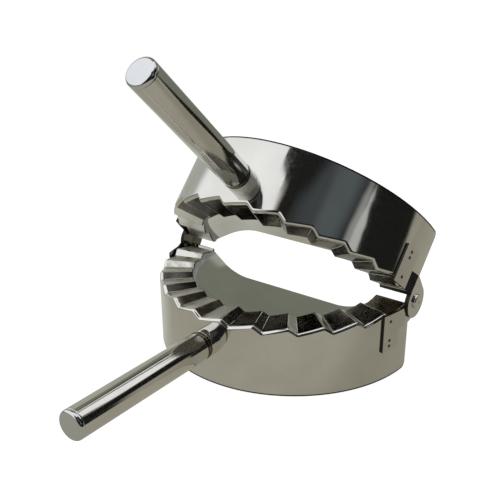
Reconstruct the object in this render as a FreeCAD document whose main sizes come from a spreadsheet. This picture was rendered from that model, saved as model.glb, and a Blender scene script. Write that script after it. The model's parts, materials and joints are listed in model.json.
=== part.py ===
import FreeCAD, Part
import math
import os
import re
import Sketcher

# Empanada press: two equal drawn-sheet jaws, riveted at both ends of their half rings.
# Each jaw has a cutting skirt, a pleated flange, a dished bowl and a tube handle.
# A jaw is modelled with the hinge axis through zero along X, its handle towards -Y and
# its pleats facing up. The upper jaw is the same jaw turned over and swung open.

Vector = FreeCAD.Vector
X_AXIS = Vector(1, 0, 0)
Y_AXIS = Vector(0, 1, 0)
Z_AXIS = Vector(0, 0, 1)
HALF_TURN = 180.0
QUARTER_TURN = 90.0

# Driving sizes in millimetres. Angles are in degrees, and shares and counts have no unit.
DRIVING_SIZES = [
    ("jaw_radius", 47.5, "outer radius of the half-round skirt"),
    ("skirt_depth", 24.7, "hinge axis down to the cutting edge"),
    ("sheet_gauge", 0.8, "thickness of the drawn sheet"),
    ("pleat_drop", 0.9, "hinge axis down to the middle height of the pleats"),
    ("end_setback", 1.6, "hinge axis to the open end of the half ring"),
    ("pleat_count", 13, "pleats round the half ring"),
    ("pleat_rise", 2.1, "valley to crest at the rim"),
    ("steep_share", 0.26, "part of a pleat that its steep facet takes"),
    ("rim_bend", 1.0, "outer bend radius between pleats and skirt"),
    ("corner_round", 2.0, "rounding of the skirt's lower corners"),
    ("bowl_radius", 35.6, "inner edge of the pleats, where the bowl starts"),
    ("bowl_lip", 1.0, "upright lip of the bowl below the middle of the pleats"),
    ("bowl_depth", 8.2, "middle of the pleats down to the bowl's floor"),
    ("floor_radius", 26.0, "where the bowl's floor and sloped wall would meet unrounded"),
    ("floor_round", 20.0, "rounding between that floor and wall"),
    ("round_share", 0.9, "most of that wall that the rounding may take"),
    ("leaf_gauge", 0.7, "thickness of a hinge leaf"),
    ("leaf_seat", 0.12, "gap that the weld spots leave under a leaf"),
    ("leaf_reach", 16.0, "hinge axis to the front edge of a leaf"),
    ("leaf_drop", 0.3, "hinge axis down to the upper edge of a leaf"),
    ("leaf_depth", 13.6, "hinge axis down to the lower edge of a leaf"),
    ("arm_root", 9.2, "hinge axis to the back edge of a leaf's strip, where its arm starts"),
    ("web_reach", 4.8, "hinge axis to the corner where an arm narrows to its ear"),
    ("web_foot", 7.0, "hinge axis down to the lower edge of an arm"),
    ("spot_inset", 3.0, "front edge of a leaf to its row of weld spots"),
    ("spot_radius", 0.45, "radius of the pit of a weld spot"),
    ("spot_pit", 0.3, "depth of that pit"),
    ("ear_radius", 5.8, "radius of the round ear about the rivet"),
    ("ear_gap", 0.12, "running gap between the two ears"),
    ("joggle_finish", 6.0, "hinge axis to the end of the step in the joggled arm"),
    ("rivet_radius", 1.5, "shank of a hinge rivet"),
    ("rivet_clearance", 0.05, "running clearance round a rivet"),
    ("rivet_head_radius", 2.5, "head of a hinge rivet"),
    ("rivet_head_height", 0.9, "height of that head"),
    ("rivet_head_round", 0.5, "rounding of that head"),
    ("rivet_flare_radius", 2.1, "flush foot set into the inner ear"),
    ("rivet_flare_depth", 0.35, "depth of that foot"),
    ("rivet_dimple_radius", 0.8, "punch mark in the middle of the head"),
    ("rivet_dimple_depth", 0.45, "depth of that mark"),
    ("handle_drop", 8.6, "hinge axis down to the handle's axis"),
    ("handle_radius", 4.8, "outside of the handle tube"),
    ("handle_wall", 0.8, "wall of the handle tube"),
    ("tube_length", 57.3, "length of the handle tube"),
    ("tube_lip", 0.25, "bevel on both ends of the tube"),
    ("ferrule_length", 1.5, "ring between the skirt and the tube"),
    ("groove_width", 0.5, "groove between that ring and the tube"),
    ("groove_depth", 0.7, "depth of that groove"),
    ("plug_length", 9.0, "part of the ferrule inside the tube"),
    ("plug_fit", 0.03, "clearance of the plugs in the tube"),
    ("screw_radius", 2.0, "shank of the handle screw"),
    ("screw_fit", 0.04, "clearance round that shank"),
    ("screw_reach", 8.0, "part of the shank past the skirt"),
    ("screw_head_radius", 3.5, "head of the handle screw"),
    ("screw_head_height", 2.2, "height of that head"),
    ("screw_head_round", 0.9, "rounding of that head"),
    ("slot_width", 1.0, "driver slot in that head"),
    ("slot_depth", 1.0, "depth of that slot"),
    ("washer_radius", 4.6, "washer inside the skirt"),
    ("washer_gauge", 0.9, "thickness of that washer"),
    ("seat_gap", 0.03, "gap left between pieces that are clamped together"),
    ("cap_thickness", 1.6, "visible part of the end cap"),
    ("cap_round", 0.9, "rounding of the end cap's face"),
    ("cap_spigot", 6.0, "part of the end cap inside the tube"),
    ("open_angle", 43.35, "angle between the jaws as the part stands"),
    ("overrun", 2.0, "how far cutting shapes run past what they cut"),
]

# Heights of the three weld spots of a leaf, as shares of the leaf's depth.
SPOT_HEIGHT_SHARES = (0.21, 0.72, 0.87)

document = FreeCAD.newDocument("empanada_press")
sheet = document.addObject("Spreadsheet::Sheet", "Sizes")
for row, (alias, value, meaning) in enumerate(DRIVING_SIZES, start=1):
    sheet.set(f"A{row}", alias)
    sheet.set(f"B{row}", str(value))
    sheet.set(f"C{row}", meaning)
    sheet.setAlias(f"B{row}", alias)
document.recompute()

ALIASES = {alias for alias, value, meaning in DRIVING_SIZES}


def size(alias):
    """A size as the sheet holds it."""
    return float(sheet.get(alias))


def formula(text):
    """An expression on the sheet, from a text that names its aliases."""
    return re.sub(r"[a-z_]+", lambda word: f"Sizes.{word[0]}" if word[0] in ALIASES else word[0], text)


def bound(kind, name, **formulas):
    """A document object with its properties bound to the sheet."""
    item = document.addObject(kind, name)
    for prop, text in formulas.items():
        item.setExpression(prop.replace("__", "."), formula(text))
    return item


def joined(kind, name, base, tool):
    """A boolean of two document objects."""
    item = document.addObject(kind, name)
    item.Base = base
    item.Tool = tool
    document.recompute()
    return item


def outline_sketch(body, name, role, corners):
    """A closed outline on one origin plane, each corner bound to the sheet."""
    sketch = body.newObject("Sketcher::SketchObject", name)
    plane = next(item for item in body.Origin.OriginFeatures if item.Role == role)
    sketch.AttachmentSupport = [(plane, "")]
    sketch.MapMode = "FlatFace"
    texts = [(formula(across), formula(up)) for across, up in corners]
    points = [Vector(float(sketch.evalExpression(across)), float(sketch.evalExpression(up)), 0)
              for across, up in texts]
    count = len(points)
    for index in range(count):
        sketch.addGeometry(Part.LineSegment(points[index], points[(index + 1) % count]), False)
    for index in range(count):
        following = (index + 1) % count
        sketch.addConstraint(Sketcher.Constraint("Coincident", index, 2, following, 1))
    for index, (across, up) in enumerate(texts):
        point = points[index]
        for kind, text, value in (("DistanceX", across, point.x), ("DistanceY", up, point.y)):
            number = sketch.addConstraint(Sketcher.Constraint(kind, -1, 1, index, 1, value))
            label = f"{kind}{index}"
            sketch.renameConstraint(number, label)
            sketch.setExpression(f"Constraints.{label}", text)
    return sketch


def turned_body(name, corners):
    """A body turned about its own upright axis from (radius, height) corners."""
    body = document.addObject("PartDesign::Body", name)
    sketch = outline_sketch(body, f"{name}_profile", "XZ_Plane", corners)
    turn = body.newObject("PartDesign::Revolution", f"{name}_turn")
    turn.Profile = sketch
    turn.ReferenceAxis = (sketch, ["V_Axis"])
    turn.Angle = 2 * HALF_TURN
    body.Tip = turn
    document.recompute()
    return body


def pleat_corners(reach, middle):
    """Points of the pleated fan at a radius: the facets' corners from end to end."""
    pitch = math.pi / size("pleat_count")
    half_steep = pitch * size("steep_share") / 2
    half_rise = size("pleat_rise") / 2 * reach / size("jaw_radius")
    corners = [(-math.pi / 2, 0.0)]
    for step in range(int(size("pleat_count"))):
        start = -math.pi / 2 + step * pitch
        corners.append((start + half_steep, -half_rise))
        corners.append((start + pitch - half_steep, half_rise))
    corners.append((math.pi / 2, 0.0))
    back = -size("end_setback")
    return [Vector(reach * math.sin(turn), back - reach * math.cos(turn), middle + lift)
            for turn, lift in corners]


def pleated_column(middle):
    """Column that stands under the pleated fan, with its apex at the ring's centre."""
    reach = size("jaw_radius") + size("overrun")
    foot = -size("skirt_depth") - size("overrun")
    back = -size("end_setback")
    apex = Vector(0, back, middle)
    top = pleat_corners(reach, middle)
    low = [Vector(point.x, point.y, foot) for point in top]
    faces = []
    for index in range(len(top) - 1):
        faces.append(Part.Face(Part.makePolygon([apex, top[index], top[index + 1], apex])))
        rim = [top[index], low[index], low[index + 1], top[index + 1], top[index]]
        faces.append(Part.Face(Part.makePolygon(rim)))
    faces.append(Part.Face(Part.makePolygon(low + [low[0]])))
    faces.append(Part.Face(Part.makePolygon([top[0], apex, top[-1], low[-1], low[0], top[0]])))
    shell = Part.makeShell(faces)
    shell.sewShape()
    return Part.makeSolid(shell)


def rim_edges(shape):
    """Numbers of the edges that run round the top of the skirt."""
    lowest = -size("pleat_drop") - size("pleat_rise")
    found = []
    for number, edge in enumerate(shape.Edges, start=1):
        ends = [vertex.Point for vertex in edge.Vertexes]
        radii = [math.hypot(point.x, point.y + size("end_setback")) for point in ends]
        on_skirt = all(abs(radius - size("jaw_radius")) < size("plug_fit") for radius in radii)
        upright = abs(ends[0].x - ends[-1].x) + abs(ends[0].y - ends[-1].y) < size("plug_fit")
        if on_skirt and not upright and min(point.z for point in ends) > lowest:
            found.append(number)
    return found


def placed(item, **formulas):
    """Binds the place of a document object to the sheet."""
    for axis, text in formulas.items():
        item.setExpression(f".Placement.Base.{axis}", formula(text))
    return item


def turned_to(item, rotation):
    """Turns a document object where it stands."""
    item.Placement = FreeCAD.Placement(item.Placement.Base, rotation)
    return item


def cylinder(name, radius, height, rotation=None, **place):
    """Part cylinder, along Z unless it is turned."""
    item = bound("Part::Cylinder", name, Radius=radius, Height=height)
    if rotation:
        turned_to(item, rotation)
    return placed(item, **place)


def block(name, length, width, height, **place):
    """Part box, from its lowest corner."""
    return placed(bound("Part::Box", name, Length=length, Width=width, Height=height), **place)


def padded_body(name, role, corners, thickness, **place):
    """A body padded from an outline on one of its origin planes."""
    body = document.addObject("PartDesign::Body", name)
    sketch = outline_sketch(body, f"{name}_outline", role, corners)
    pad = body.newObject("PartDesign::Pad", f"{name}_pad")
    pad.Profile = sketch
    pad.setExpression("Length", formula(thickness))
    body.Tip = pad
    document.recompute()
    return placed(body, **place)


def rounded(body, radius, height, rounding):
    """Rounds the circular edge of a turned body that has this radius and height."""
    turn = body.Tip
    wide = float(sheet.evalExpression(formula(radius)))
    high = float(sheet.evalExpression(formula(height)))
    near = size("plug_fit")
    names = []
    for number, edge in enumerate(turn.Shape.Edges, start=1):
        circle = hasattr(edge.Curve, "Radius")
        if circle and abs(edge.Curve.Radius - wide) < near and abs(edge.Curve.Center.z - high) < near:
            names.append(f"Edge{number}")
    fillet = body.newObject("PartDesign::Fillet", f"{body.Name}_round")
    fillet.Base = (turn, names)
    fillet.setExpression("Radius", formula(rounding))
    body.Tip = fillet
    document.recompute()
    return body


# Turns a cylinder's axis, or a handle piece's, from Z to the axis named.
TO_X = FreeCAD.Rotation(Y_AXIS, QUARTER_TURN)
TO_LESS_X = FreeCAD.Rotation(Y_AXIS, -QUARTER_TURN)
TO_Y = FreeCAD.Rotation(X_AXIS, -QUARTER_TURN)
TO_LESS_Y = FreeCAD.Rotation(X_AXIS, QUARTER_TURN)

# Planes and depths that several pieces share, as formulas on the sheet.
INNER_EAR = "jaw_radius + leaf_seat"
OUTER_EAR = f"{INNER_EAR} + leaf_gauge + ear_gap"
RIVET_STACK = "2 * leaf_gauge + ear_gap"
TUBE_START = "ferrule_length + groove_width"
TUBE_END = f"{TUBE_START} + tube_length"
PLUG_RADIUS = "handle_radius - handle_wall - plug_fit"
INNER_SKIRT = "jaw_radius - sheet_gauge"
WASHER_SAG = f"{INNER_SKIRT} - sqrt(({INNER_SKIRT}) ^ 2 - washer_radius ^ 2)"
WASHER_FACE = f"-(sheet_gauge + {WASHER_SAG} + seat_gap)"
WASHER_BACK = f"{WASHER_FACE} - washer_gauge"
BOWL_SLOPE = "atan((bowl_depth - bowl_lip) / (bowl_radius - floor_radius))"
BOWL_WALL = f"(bowl_depth - bowl_lip) / sin({BOWL_SLOPE})"
FLOOR_ROUND = f"min(floor_round; round_share * {BOWL_WALL} / tan({BOWL_SLOPE} / 2))"


def bowl_space(name, growth):
    """Turned space inside the bowl, grown all round by a gauge."""
    floor = f"-bowl_depth - {growth}"
    floor_edge = f"floor_radius + {growth} * tan({BOWL_SLOPE} / 2)"
    wall = f"bowl_radius + {growth}"
    lip = f"-bowl_lip - {growth} * tan((90 deg - {BOWL_SLOPE}) / 2)"
    body = turned_body(name, [
        ("0", floor),
        (floor_edge, floor),
        (wall, lip),
        (wall, "pleat_rise"),
        ("0", "pleat_rise"),
    ])
    rounded(body, floor_edge, floor, f"{FLOOR_ROUND} + {growth}")
    return placed(body, y="-end_setback", z="-pleat_drop")


def jaw_shell(jaw):
    """The drawn sheet of a jaw: skirt, pleated flange and bowl in one piece."""
    middle = -size("pleat_drop")
    column = document.addObject("Part::Feature", f"{jaw}_column")
    column.Shape = pleated_column(middle)
    barrel = cylinder(f"{jaw}_barrel", "jaw_radius", "skirt_depth + pleat_rise",
                      y="-end_setback", z="-skirt_depth")
    blank = joined("Part::Common", f"{jaw}_blank", column, barrel)
    bent = document.addObject("Part::Fillet", f"{jaw}_bent_rim")
    bent.Base = blank
    bent.Edges = [(number, size("rim_bend"), size("rim_bend")) for number in rim_edges(blank.Shape)]

    dished = joined("Part::Cut", f"{jaw}_dished", bent, bowl_space(f"{jaw}_bowl", "0"))

    inner_column = document.addObject("Part::Feature", f"{jaw}_inner_column")
    run_out = Part.makeBox(2 * size("jaw_radius"), size("overrun"),
                           size("skirt_depth") - size("pleat_drop") - size("sheet_gauge") + size("overrun"),
                           Vector(-size("jaw_radius"), -size("end_setback"),
                                  -size("skirt_depth") - size("overrun")))
    inner_column.Shape = pleated_column(middle - size("sheet_gauge")).fuse(run_out)
    inner_barrel = cylinder(f"{jaw}_inner_barrel", INNER_SKIRT, "skirt_depth + pleat_rise + overrun",
                            y="-end_setback", z="-skirt_depth - overrun")
    inner_blank = joined("Part::Common", f"{jaw}_inner_blank", inner_column, inner_barrel)
    underside = bowl_space(f"{jaw}_bowl_underside", "sheet_gauge")
    hollow = joined("Part::Cut", f"{jaw}_hollow", inner_blank, underside)
    hollowed = joined("Part::Cut", f"{jaw}_hollowed", dished, hollow)

    corner = block(f"{jaw}_corner", "2 * (jaw_radius + overrun)", "corner_round + overrun",
                   "corner_round + overrun", x="-jaw_radius - overrun",
                   y="-end_setback - corner_round", z="-skirt_depth - overrun")
    corner_core = cylinder(f"{jaw}_corner_core", "corner_round", "2 * (jaw_radius + overrun)", TO_X,
                           x="-jaw_radius - overrun", y="-end_setback - corner_round",
                           z="-skirt_depth + corner_round")
    corners = joined("Part::Cut", f"{jaw}_corners", corner, corner_core)
    trimmed = joined("Part::Cut", f"{jaw}_trimmed", hollowed, corners)
    bore = cylinder(f"{jaw}_screw_bore", "screw_radius + screw_fit", "sheet_gauge + 2 * overrun",
                    TO_LESS_Y, y="-end_setback - jaw_radius + sheet_gauge + overrun", z="-handle_drop")
    return joined("Part::Cut", f"{jaw}_jaw_shell", trimmed, bore)


def leaf_prism(name):
    """Prism along X with a leaf's side outline: upright strip, arm and round ear."""
    reach = "sqrt(web_reach ^ 2 + web_foot ^ 2)"
    turn = f"(acos(ear_radius / {reach}) - atan(web_reach / web_foot))"
    outline = padded_body(f"{name}_side", "YZ_Plane", [
        ("-leaf_reach", "-leaf_drop"),
        ("-leaf_reach", "-leaf_depth"),
        ("-arm_root", "-leaf_depth"),
        ("-arm_root", "-web_foot"),
        ("-web_reach", "-web_foot"),
        (f"ear_radius * sin{turn}", f"-ear_radius * cos{turn}"),
        ("0", "0"),
        ("-sqrt(ear_radius ^ 2 - leaf_drop ^ 2)", "-leaf_drop"),
    ], "jaw_radius + 2 * overrun")
    ear = cylinder(f"{name}_ear", "ear_radius", "jaw_radius + 2 * overrun", TO_X)
    return joined("Part::Fuse", f"{name}_prism", outline, ear)


def leaf_blank(name, ear_level, ear_start):
    """A leaf before its holes: a strip curved with the skirt, and an arm out to the ear's level."""
    rim = cylinder(f"{name}_outside", f"{INNER_EAR} + leaf_gauge", "leaf_depth",
                   y="-end_setback", z="-leaf_depth")
    core = cylinder(f"{name}_inside", INNER_EAR, "leaf_depth + 2 * overrun",
                    y="-end_setback", z="-leaf_depth - overrun")
    ring = joined("Part::Cut", f"{name}_ring", rim, core)
    window = block(f"{name}_window", "jaw_radius + overrun", "leaf_reach - arm_root + overrun",
                   "leaf_depth + overrun", y="-leaf_reach - overrun", z="-leaf_depth - overrun")
    strip = joined("Part::Common", f"{name}_strip", ring, window)
    behind = "(arm_root - end_setback) ^ 2"
    arm = padded_body(f"{name}_arm", "XY_Plane", [
        (f"sqrt(({INNER_EAR}) ^ 2 - {behind})", "-arm_root"),
        (f"sqrt(({INNER_EAR} + leaf_gauge) ^ 2 - {behind})", "-arm_root"),
        (f"{ear_level} + leaf_gauge", f"-{ear_start}"),
        (f"{ear_level} + leaf_gauge", "ear_radius + overrun"),
        (ear_level, "ear_radius + overrun"),
        (ear_level, f"-{ear_start}"),
    ], "leaf_depth + ear_radius + overrun", z="-leaf_depth")
    bent = joined("Part::Fuse", f"{name}_bent", strip, arm)
    cut_out = joined("Part::Common", f"{name}_cut_out", bent, leaf_prism(name))
    cut_out.Refine = True
    return spot_pits(name, cut_out)


def spot_pits(name, leaf):
    """The leaf with the pits that its weld spots leave in the outer face."""
    pits = []
    ahead = "leaf_reach - spot_inset - end_setback"
    face = f"sqrt(({INNER_EAR} + leaf_gauge) ^ 2 - ({ahead}) ^ 2)"
    for number, share in enumerate(SPOT_HEIGHT_SHARES, start=1):
        pits.append(cylinder(f"{name}_pit{number}", "spot_radius", "spot_pit + overrun", TO_X,
                             x=f"{face} - spot_pit", y="spot_inset - leaf_reach",
                             z=f"-leaf_depth * {share}"))
    row = document.addObject("Part::MultiFuse", f"{name}_pits")
    row.Shapes = pits
    return joined("Part::Cut", f"{name}_spotted", leaf, row)


def flat_leaf(jaw):
    """Leaf of the right-hand end: its ear runs straight on, inside the other jaw's."""
    name = f"{jaw}_flat"
    blank = leaf_blank(name, INNER_EAR, "ear_radius")
    hole = cylinder(f"{name}_hole", "rivet_radius + rivet_clearance", "leaf_gauge + 2 * overrun", TO_X,
                    x=f"{INNER_EAR} - overrun")
    sink = bound("Part::Cone", f"{name}_sink", Radius1="rivet_flare_radius + rivet_clearance",
                 Radius2="rivet_radius + rivet_clearance", Height="rivet_flare_depth")
    placed(turned_to(sink, TO_X), x=INNER_EAR)
    drill = joined("Part::Fuse", f"{name}_drill", hole, sink)
    return joined("Part::Cut", f"{jaw}_flat_leaf", blank, drill)


def joggled_leaf(jaw):
    """Leaf of the left-hand end: its arm steps out over the other jaw's flat ear."""
    name = f"{jaw}_joggled"
    blank = leaf_blank(name, OUTER_EAR, "joggle_finish")
    hole = cylinder(f"{name}_hole", "rivet_radius + rivet_clearance", "leaf_gauge + 2 * overrun", TO_X,
                    x=f"{OUTER_EAR} - overrun")
    drilled = joined("Part::Cut", f"{name}_drilled", blank, hole)
    mirrored = document.addObject("Part::Mirroring", f"{jaw}_joggled_leaf")
    mirrored.Source = drilled
    mirrored.Normal = X_AXIS
    return mirrored


def hinge_rivet(name):
    """Rivet that stands on its flush foot, with a punched head."""
    head_seat = f"{RIVET_STACK} + seat_gap"
    top = f"{head_seat} + rivet_head_height"
    body = turned_body(name, [
        ("0", "0"),
        ("rivet_flare_radius", "0"),
        ("rivet_radius", "rivet_flare_depth"),
        ("rivet_radius", head_seat),
        ("rivet_head_radius", head_seat),
        ("rivet_head_radius", top),
        ("rivet_dimple_radius", top),
        ("0", f"{top} - rivet_dimple_depth"),
    ])
    return rounded(body, "rivet_head_radius", top, "rivet_head_round")


def handle_tube(jaw):
    """Tube that is the grip, bevelled at both ends."""
    return turned_body(f"{jaw}_handle_tube", [
        ("handle_radius - handle_wall", TUBE_START),
        ("handle_radius - tube_lip", TUBE_START),
        ("handle_radius", f"{TUBE_START} + tube_lip"),
        ("handle_radius", f"{TUBE_END} - tube_lip"),
        ("handle_radius - tube_lip", TUBE_END),
        ("handle_radius - handle_wall", TUBE_END),
    ])


def handle_cap(jaw):
    """Cap whose spigot is pressed into the tube's outer end."""
    top = f"{TUBE_END} + cap_thickness"
    body = turned_body(f"{jaw}_handle_cap", [
        ("0", f"{TUBE_END} - cap_spigot"),
        (PLUG_RADIUS, f"{TUBE_END} - cap_spigot"),
        (PLUG_RADIUS, f"{TUBE_END} + seat_gap"),
        ("handle_radius", f"{TUBE_END} + seat_gap"),
        ("handle_radius", top),
        ("0", top),
    ])
    return rounded(body, "handle_radius", top, "cap_round")


def handle_ferrule(jaw):
    """Ring saddled to the skirt, with the tapped plug that the tube is pressed on."""
    name = f"{jaw}_ferrule"
    turned = turned_body(f"{name}_turned", [
        ("screw_radius + screw_fit", "-overrun"),
        ("handle_radius", "-overrun"),
        ("handle_radius", "ferrule_length"),
        ("handle_radius - groove_depth", "ferrule_length"),
        ("handle_radius - groove_depth", f"{TUBE_START} - seat_gap"),
        (PLUG_RADIUS, f"{TUBE_START} - seat_gap"),
        (PLUG_RADIUS, f"{TUBE_START} + plug_length"),
        ("screw_radius + screw_fit", f"{TUBE_START} + plug_length"),
    ])
    saddle = cylinder(f"{name}_saddle", "jaw_radius + seat_gap", "4 * handle_radius", TO_Y,
                      y="-2 * handle_radius", z="-jaw_radius")
    return joined("Part::Cut", f"{jaw}_handle_ferrule", turned, saddle)


def handle_washer(jaw):
    """Flat washer against the inside of the skirt."""
    return turned_body(f"{jaw}_handle_washer", [
        ("screw_radius + screw_fit", WASHER_BACK),
        ("washer_radius", WASHER_BACK),
        ("washer_radius", WASHER_FACE),
        ("screw_radius + screw_fit", WASHER_FACE),
    ])


def handle_screw(jaw):
    """Screw that goes in from inside the skirt, through the washer."""
    seat = f"{WASHER_BACK} - seat_gap"
    foot = f"{seat} - screw_head_height"
    turned = turned_body(f"{jaw}_screw_turned", [
        ("0", foot),
        ("screw_head_radius", foot),
        ("screw_head_radius", seat),
        ("screw_radius", seat),
        ("screw_radius", "screw_reach"),
        ("0", "screw_reach"),
    ])
    rounded(turned, "screw_head_radius", foot, "screw_head_round")
    slot = block(f"{jaw}_screw_slot", "slot_width", "2 * (screw_head_radius + overrun)",
                 "slot_depth + overrun", x="-slot_width / 2", y="-screw_head_radius - overrun",
                 z=f"{foot} - overrun")
    return joined("Part::Cut", f"{jaw}_handle_screw", turned, slot)


def jaw_pieces(jaw, jaw_place):
    """All the pieces of a jaw, put in their place in the whole press."""
    handle_seat = Vector(0, -size("end_setback") - size("jaw_radius"), -size("handle_drop"))
    handle_place = jaw_place.multiply(FreeCAD.Placement(handle_seat, TO_LESS_Y))
    pieces = []
    for make in (jaw_shell, flat_leaf, joggled_leaf):
        piece = make(jaw)
        piece.Placement = jaw_place
        pieces.append(piece)
    for make in (handle_tube, handle_cap, handle_ferrule, handle_washer, handle_screw):
        piece = make(jaw)
        piece.Placement = handle_place
        pieces.append(piece)
    return pieces


# The lower jaw stands on its cutting edge, and the middle of the part is over zero.
opening = math.radians(size("open_angle"))
setback = size("end_setback")
rounding = size("corner_round")
front = -(setback + size("jaw_radius") + size("ferrule_length") + size("groove_width")
          + size("tube_length") + size("cap_thickness"))
back = (rounding - (setback + rounding) * math.cos(opening)
        + (size("skirt_depth") - rounding) * math.sin(opening))
lower_place = FreeCAD.Placement(Vector(0, -(front + back) / 2, size("skirt_depth")), FreeCAD.Rotation())
swing = FreeCAD.Rotation(X_AXIS, -size("open_angle"))
turn_over = FreeCAD.Rotation(Y_AXIS, HALF_TURN)
upper_place = lower_place.multiply(FreeCAD.Placement(Vector(0, 0, 0), swing.multiply(turn_over)))

pieces = jaw_pieces("lower", lower_place) + jaw_pieces("upper", upper_place)
foot = size("jaw_radius") + size("leaf_seat")
for name, side, rotation in (("right_hinge_rivet", 1, TO_X), ("left_hinge_rivet", -1, TO_LESS_X)):
    rivet = hinge_rivet(name)
    rivet.Placement = lower_place.multiply(FreeCAD.Placement(Vector(side * foot, 0, 0), rotation))
    pieces.append(rivet)
document.recompute()

# Nothing is written unless every object and every piece is sound.
for item in document.Objects:
    if "Invalid" in item.State or "Error" in item.State:
        raise SystemExit(f"{item.Name} failed: {item.State}")
os.makedirs("parts", exist_ok=True)
for piece in pieces:
    piece.Label = piece.Name
    if piece.Shape.isNull() or not piece.Shape.isValid() or len(piece.Shape.Solids) != 1:
        raise SystemExit(f"{piece.Label} is not one sound solid")
for piece in pieces:
    piece.Shape.exportStep(f"parts/{piece.Label}.step")
    bounds = piece.Shape.BoundBox
    print(f"{piece.Label}: volume {piece.Shape.Volume:.1f}, y {bounds.YMin:.2f} to {bounds.YMax:.2f}")
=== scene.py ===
import json
import math

import bpy
from mathutils import Matrix, Vector


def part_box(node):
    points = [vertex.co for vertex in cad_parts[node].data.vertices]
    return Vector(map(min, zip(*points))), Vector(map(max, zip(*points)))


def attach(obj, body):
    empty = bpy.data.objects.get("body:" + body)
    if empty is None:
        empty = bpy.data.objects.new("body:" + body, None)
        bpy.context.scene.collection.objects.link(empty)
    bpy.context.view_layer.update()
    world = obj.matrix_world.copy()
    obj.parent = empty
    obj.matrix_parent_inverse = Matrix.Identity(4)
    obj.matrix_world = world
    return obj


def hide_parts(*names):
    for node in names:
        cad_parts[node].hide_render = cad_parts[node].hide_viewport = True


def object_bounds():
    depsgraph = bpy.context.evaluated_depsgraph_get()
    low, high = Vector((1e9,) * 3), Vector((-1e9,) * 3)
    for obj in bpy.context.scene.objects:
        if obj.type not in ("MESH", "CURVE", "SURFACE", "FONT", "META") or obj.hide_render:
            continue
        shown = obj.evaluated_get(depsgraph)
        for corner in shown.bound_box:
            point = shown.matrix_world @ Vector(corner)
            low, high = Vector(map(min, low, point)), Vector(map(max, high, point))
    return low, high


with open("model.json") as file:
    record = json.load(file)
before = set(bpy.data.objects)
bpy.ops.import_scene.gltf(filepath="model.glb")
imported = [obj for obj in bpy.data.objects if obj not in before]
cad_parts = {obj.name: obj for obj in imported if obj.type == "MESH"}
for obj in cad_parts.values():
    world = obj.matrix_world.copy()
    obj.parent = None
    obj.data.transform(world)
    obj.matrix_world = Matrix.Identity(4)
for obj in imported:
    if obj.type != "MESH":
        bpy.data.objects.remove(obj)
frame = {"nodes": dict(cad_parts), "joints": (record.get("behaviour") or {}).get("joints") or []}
CAD_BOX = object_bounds()

# Lengths are in metres and angles in radians unless a name says degrees.
HINGE = Vector(frame["joints"][0]["pos_m"])
OPENING = math.radians(-frame["joints"][0]["range_deg"][0])
SHELL_LOW, SHELL_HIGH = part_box("lower_jaw_shell")
JAW_RADIUS = (SHELL_HIGH.x - SHELL_LOW.x) / 2
SKIRT_DEPTH = HINGE.z - SHELL_LOW.z
END_SETBACK = HINGE.y - SHELL_HIGH.y

# The drawn sheet of a jaw.
SHEET_GAUGE = 0.0008
PLEAT_DROP = 0.0009
PLEAT_RISE = 0.0021
PLEAT_COUNT = 13
STEEP_SHARE = 0.26
CREASE_SOFTNESS = math.radians(0.55)
BOWL_RADIUS = 0.0356
BOWL_LIP = 0.001
BOWL_DEPTH = 0.0082
FLOOR_RADIUS = 0.026
FLOOR_ROUND = 0.02
WALL_TILT = math.atan((BOWL_DEPTH - BOWL_LIP) / (BOWL_RADIUS - FLOOR_RADIUS))
LIP_ROUND = 0.0003
LIP_SHARE = 2.2
LIP_BENDS = (0.4, 0.6)
LIP_BAND = 0.0013
RIM_BEND = 0.00118
CORNER_ROUND = 0.002
EDGE_ROUND = 0.0002
# Band above the skirt's cutting edge with the dark cut finish, which paints the shadow where the skirt
# meets the floor.
EDGE_SHADOW_BAND = 0.0006
SKIN_NEARNESS = 0.000001

# Kinds of face on a jaw's sheet, in the order of its finishes.
SHEET, CUT_AND_SHADOW, LIP, LIP_BEND_SHADE, PAINTED_REFLECTION, PAINTED_GREY, SHADED, PAINTED_UMBER, PAINTED_BROWN, FLUTE = range(10)

# Finishes of the pleats' facets, each up to a turn in degrees: painted light and shade, a painted
# reflection on the pale ones and painted shade on the others, set apart for each jaw.
LOWER_LONG_FACETS = ((8.0, PAINTED_REFLECTION), (76.0, PAINTED_BROWN), (90.0, PAINTED_UMBER))
LOWER_STEEP_FACETS = ((-69.0, SHEET), (-55.0, PAINTED_GREY), (-28.0, SHADED), (0.0, PAINTED_UMBER), (28.0, SHADED),
                      (90.0, SHEET))
UPPER_LONG_FACETS = ((48.0, PAINTED_BROWN), (90.0, PAINTED_REFLECTION))
UPPER_STEEP_FACETS = ((48.0, SHADED), (90.0, PAINTED_UMBER))

# Numbers of steps along the sheet's section and round the jaw.
FLOOR_STEPS = 10
FLOOR_BEND_STEPS = 10
BEND_STEPS = 7
TURNED_STEPS = 72
ROUND_STEPS = 5
FLUTE_STEPS = 4
SKIRT_STEPS = 8
TURN_STEP = math.radians(1.3)
CREASE_SHARES = (-1.0, -0.5, 0.0, 0.5, 1.0)
CORNER_SHARES = (0.0, 0.1, 0.3, 0.6, 1.0)
EDGE_SHARES = (0.5, 1.0)

# The jaws' places: each is modelled with the hinge axis through zero along X.
LOWER_PLACE = Matrix.Translation(HINGE)
UPPER_PLACE = LOWER_PLACE @ Matrix.Rotation(-OPENING, 4, "X") @ Matrix.Rotation(math.pi, 4, "Y")
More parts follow.
